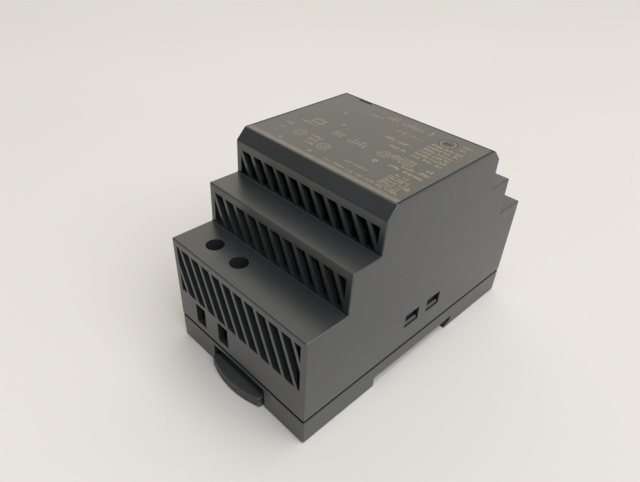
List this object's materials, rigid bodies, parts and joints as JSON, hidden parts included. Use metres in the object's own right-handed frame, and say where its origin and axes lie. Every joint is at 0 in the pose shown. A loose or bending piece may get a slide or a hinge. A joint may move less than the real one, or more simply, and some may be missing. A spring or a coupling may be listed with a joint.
{
  "type": "DIN rail power supply",
  "caption": "Stepped charcoal housing that clips on a 35 mm rail, with slanted vents, screw terminals at both ends, a trimmer and a spring latch.",
  "frame": {"origin": "middle of the flat seat that bears on the rail, halfway along the length and the width", "axes": "+X along the rail, +Y across the rail from the input end to the output end, +Z away from the rail to the front face"},
  "size_m": [0.0524, 0.093, 0.06],
  "materials": {
    "charcoal_plastic": "satin moulded, fine texture",
    "terminal_plastic": "moulded",
    "component_plastic": "moulded",
    "plated_steel": "zinc plated",
    "spring_steel": "drawn wire",
    "tinned_brass": "tin plated",
    "aluminium": "rolled",
    "board_laminate": "solder mask over glass fibre laminate",
    "insulation_film": "film",
    "ferrite": "sintered",
    "copper_wire": "enamelled copper winding",
    "winding_tape": "tape over the winding",
    "film_yellow": "moulded box",
    "disc_blue": "dipped coating",
    "disc_sky_blue": "dipped coating",
    "disc_green": "dipped coating",
    "fuse_red": "moulded cap",
    "capacitor_sleeve": "shrink sleeve",
    "inductor_sleeve": "shrink sleeve",
    "trimmer_blue": "moulded",
    "rotor_grey": "moulded",
    "led_green": "tinted clear resin"
  },
  "bodies": {
    "housing": {"base_shell": "charcoal_plastic", "bridge_rectifier": "component_plastic", "bulk_capacitor": "capacitor_sleeve", "control_board": "board_laminate", "controller_chip": "component_plastic", "fuse": "fuse_red", "input_contact_1": "tinned_brass", "input_contact_2": "tinned_brass", "input_terminal_block": "terminal_plastic", "inrush_thermistor": "disc_green", "insulation_sheet": "insulation_film", "latch_spring": "spring_steel", "line_choke_core": "ferrite", "line_choke_winding_1": "copper_wire", "line_choke_winding_2": "copper_wire", "main_board": "board_laminate", "optocoupler": "component_plastic", "output_capacitor_1": "capacitor_sleeve", "output_capacitor_2": "capacitor_sleeve", "output_capacitor_3": "capacitor_sleeve", "output_contact_1": "tinned_brass", "output_contact_2": "tinned_brass", "output_contact_3": "tinned_brass", "output_contact_4": "tinned_brass", "output_diode": "component_plastic", "output_diode_heat_sink": "aluminium", "output_diode_screw": "plated_steel", "output_inductor": "inductor_sleeve", "output_terminal_block": "terminal_plastic", "status_led": "led_green", "switch_transistor": "component_plastic", "switch_transistor_heat_sink": "aluminium", "switch_transistor_screw": "plated_steel", "top_cover": "charcoal_plastic", "transformer_base": "component_plastic", "transformer_core": "ferrite", "transformer_winding": "winding_tape", "trimmer_body": "trimmer_blue", "varistor": "disc_blue", "x_capacitor": "film_yellow", "y_capacitor": "disc_sky_blue"},
    "latch": {"rail_latch": "charcoal_plastic"},
    "trimmer": {"trimmer_rotor": "rotor_grey"},
    "input_screw_1": {"input_screw_1": "plated_steel"},
    "input_clamp_1": {"input_clamp_1": "plated_steel"},
    "input_screw_2": {"input_screw_2": "plated_steel"},
    "input_clamp_2": {"input_clamp_2": "plated_steel"},
    "output_screw_1": {"output_screw_1": "plated_steel"},
    "output_clamp_1": {"output_clamp_1": "plated_steel"},
    "output_screw_2": {"output_screw_2": "plated_steel"},
    "output_clamp_2": {"output_clamp_2": "plated_steel"},
    "output_screw_3": {"output_screw_3": "plated_steel"},
    "output_clamp_3": {"output_clamp_3": "plated_steel"},
    "output_screw_4": {"output_screw_4": "plated_steel"},
    "output_clamp_4": {"output_clamp_4": "plated_steel"}
  },
  "joints": [
    {"name": "latch_slide", "type": "slide", "parent": "housing", "child": "latch", "axis": [0, -1, 0], "range_m": [0, 0.004], "stiffness_N_per_m": 150, "springref_m": -0.004, "deforming": ["latch_spring"]},
    {"name": "trimmer_turn", "type": "hinge", "parent": "housing", "child": "trimmer", "pos_m": [0.0158, 0.0143, 0.0537], "axis": [0, 0, 1], "range_deg": [-135, 135]},
    {"name": "input_screw_1_turn", "type": "hinge", "parent": "housing", "child": "input_screw_1", "pos_m": [-0.01598, -0.038, 0.0212], "axis": [0, 0, -1], "range_deg": [0, 1730]},
    {"name": "input_clamp_1_rise", "type": "slide", "parent": "housing", "child": "input_clamp_1", "axis": [0, 0, 1], "range_m": [0, 0.0024]},
    {"name": "input_screw_2_turn", "type": "hinge", "parent": "housing", "child": "input_screw_2", "pos_m": [-0.00582, -0.038, 0.0212], "axis": [0, 0, -1], "range_deg": [0, 1730]},
    {"name": "input_clamp_2_rise", "type": "slide", "parent": "housing", "child": "input_clamp_2", "axis": [0, 0, 1], "range_m": [0, 0.0024]},
    {"name": "output_screw_1_turn", "type": "hinge", "parent": "housing", "child": "output_screw_1", "pos_m": [0.01524, 0.038, 0.0212], "axis": [0, 0, -1], "range_deg": [0, 1730]},
    {"name": "output_clamp_1_rise", "type": "slide", "parent": "housing", "child": "output_clamp_1", "axis": [0, 0, 1], "range_m": [0, 0.0024]},
    {"name": "output_screw_2_turn", "type": "hinge", "parent": "housing", "child": "output_screw_2", "pos_m": [0.00508, 0.038, 0.0212], "axis": [0, 0, -1], "range_deg": [0, 1730]},
    {"name": "output_clamp_2_rise", "type": "slide", "parent": "housing", "child": "output_clamp_2", "axis": [0, 0, 1], "range_m": [0, 0.0024]},
    {"name": "output_screw_3_turn", "type": "hinge", "parent": "housing", "child": "output_screw_3", "pos_m": [-0.00508, 0.038, 0.0212], "axis": [0, 0, -1], "range_deg": [0, 1730]},
    {"name": "output_clamp_3_rise", "type": "slide", "parent": "housing", "child": "output_clamp_3", "axis": [0, 0, 1], "range_m": [0, 0.0024]},
    {"name": "output_screw_4_turn", "type": "hinge", "parent": "housing", "child": "output_screw_4", "pos_m": [-0.01524, 0.038, 0.0212], "axis": [0, 0, -1], "range_deg": [0, 1730]},
    {"name": "output_clamp_4_rise", "type": "slide", "parent": "housing", "child": "output_clamp_4", "axis": [0, 0, 1], "range_m": [0, 0.0024]}
  ],
  "couplings": [
    {"joint": "input_screw_1_turn", "follows": "input_clamp_1_rise", "rad_per_m": 12566},
    {"joint": "input_screw_2_turn", "follows": "input_clamp_2_rise", "rad_per_m": 12566},
    {"joint": "output_screw_1_turn", "follows": "output_clamp_1_rise", "rad_per_m": 12566},
    {"joint": "output_screw_2_turn", "follows": "output_clamp_2_rise", "rad_per_m": 12566},
    {"joint": "output_screw_3_turn", "follows": "output_clamp_3_rise", "rad_per_m": 12566},
    {"joint": "output_screw_4_turn", "follows": "output_clamp_4_rise", "rad_per_m": 12566}
  ]
}
